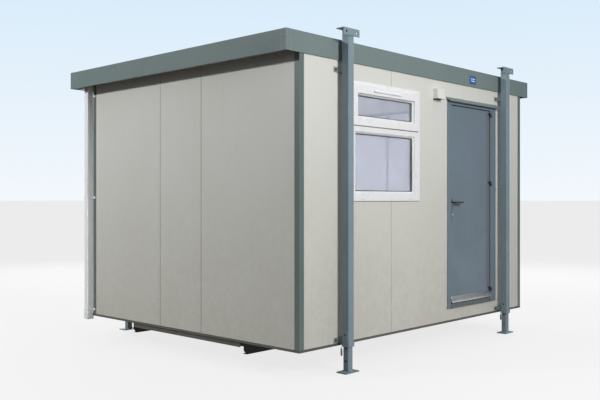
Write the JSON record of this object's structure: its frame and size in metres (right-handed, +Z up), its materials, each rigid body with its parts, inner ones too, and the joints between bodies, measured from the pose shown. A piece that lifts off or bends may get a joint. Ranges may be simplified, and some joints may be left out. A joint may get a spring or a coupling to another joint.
{
  "type": "portable site cabin",
  "caption": "Flat-roofed steel site cabin with one door, a window and jack legs at its corners that slide down through fixed tubes.",
  "frame": {"origin": "on the ground, at the middle of the cabin's outline", "axes": "+X along the door side to the right as seen from the front, +Y to the rear, +Z up"},
  "size_m": [3.984, 3.3264, 2.867],
  "materials": {
    "cream_panel": "satin plastisol-coated steel sheet",
    "grey_green_trim": "satin",
    "dark_rail": "matt",
    "black_bearer": "matt",
    "timber": "sawn",
    "white_lining": "matt vinyl face",
    "roof_steel": "satin",
    "white_upvc": "gloss",
    "clear_glass": "clear",
    "door_paint": "satin",
    "mill_aluminium": "satin",
    "dark_hinge": "satin",
    "blue_badge": "gloss",
    "leg_paint": "satin",
    "dark_pin": "dull"
  },
  "bodies": {
    "cabin": {"floor_deck": "timber", "floor_joists": "timber", "bearer_front": "black_bearer", "bearer_rear": "black_bearer", "end_trimmers": "dark_rail", "base_rails": "dark_rail", "wall_left": "cream_panel", "wall_right": "cream_panel", "wall_rear": "cream_panel", "front_left": "cream_panel", "front_under_window": "cream_panel", "front_over_window": "cream_panel", "front_middle": "cream_panel", "front_over_door": "cream_panel", "front_under_door": "cream_panel", "front_right": "cream_panel", "corner_trims": "grey_green_trim", "linings": "white_lining", "ceiling": "white_lining", "roof_joists": "timber", "roof_deck": "timber", "roof_sheet": "roof_steel", "fascia_front": "grey_green_trim", "fascia_rear": "grey_green_trim", "fascia_left": "grey_green_trim", "fascia_right": "grey_green_trim", "fascia_corners": "grey_green_trim", "gutter": "white_upvc", "downpipe": "white_upvc", "downpipe_lower": "white_upvc", "pipe_clips": "white_upvc", "window_frame": "white_upvc", "window_sash": "white_upvc", "window_glass": "clear_glass", "door_frame": "door_paint", "door_threshold": "mill_aluminium", "door_drip": "grey_green_trim", "hinge_pins": "dark_hinge", "inlet_hood": "white_upvc", "badge_plate": "blue_badge", "leg_tubes": "leg_paint", "head_front_left": "leg_paint", "head_front_right": "leg_paint", "head_rear_left": "leg_paint", "head_rear_right": "leg_paint", "leg_brackets": "leg_paint", "leg_pins": "dark_pin"},
    "door": {"door_leaf": "door_paint", "door_weather_bar": "mill_aluminium", "hinge_knuckles": "dark_hinge", "lock_plate": "mill_aluminium"},
    "lever": {"lever_handle": "mill_aluminium"},
    "foot_front_left": {"leg_front_left": "leg_paint"},
    "foot_front_right": {"leg_front_right": "leg_paint"},
    "foot_rear_left": {"leg_rear_left": "leg_paint"},
    "foot_rear_right": {"leg_rear_right": "leg_paint"}
  },
  "joints": [
    {"name": "door_hinge", "type": "hinge", "parent": "cabin", "child": "door", "pos_m": [1.142, -1.54575, 1.4], "axis": [0, 0, 1], "range_deg": [0, 95]},
    {"name": "lever_turn", "type": "hinge", "parent": "door", "child": "lever", "pos_m": [0.4, -1.52375, 1.414], "axis": [0, 1, 0], "range_deg": [0, 40], "stiffness_Nm_per_rad": 1, "springref_deg": -28.65},
    {"name": "jack_front_left", "type": "slide", "parent": "cabin", "child": "foot_front_left", "axis": [0, 0, -1], "range_m": [0, 0.55]},
    {"name": "jack_front_right", "type": "slide", "parent": "cabin", "child": "foot_front_right", "axis": [0, 0, -1], "range_m": [0, 0.55]},
    {"name": "jack_rear_left", "type": "slide", "parent": "cabin", "child": "foot_rear_left", "axis": [0, 0, -1], "range_m": [0, 0.55]},
    {"name": "jack_rear_right", "type": "slide", "parent": "cabin", "child": "foot_rear_right", "axis": [0, 0, -1], "range_m": [0, 0.55]}
  ]
}
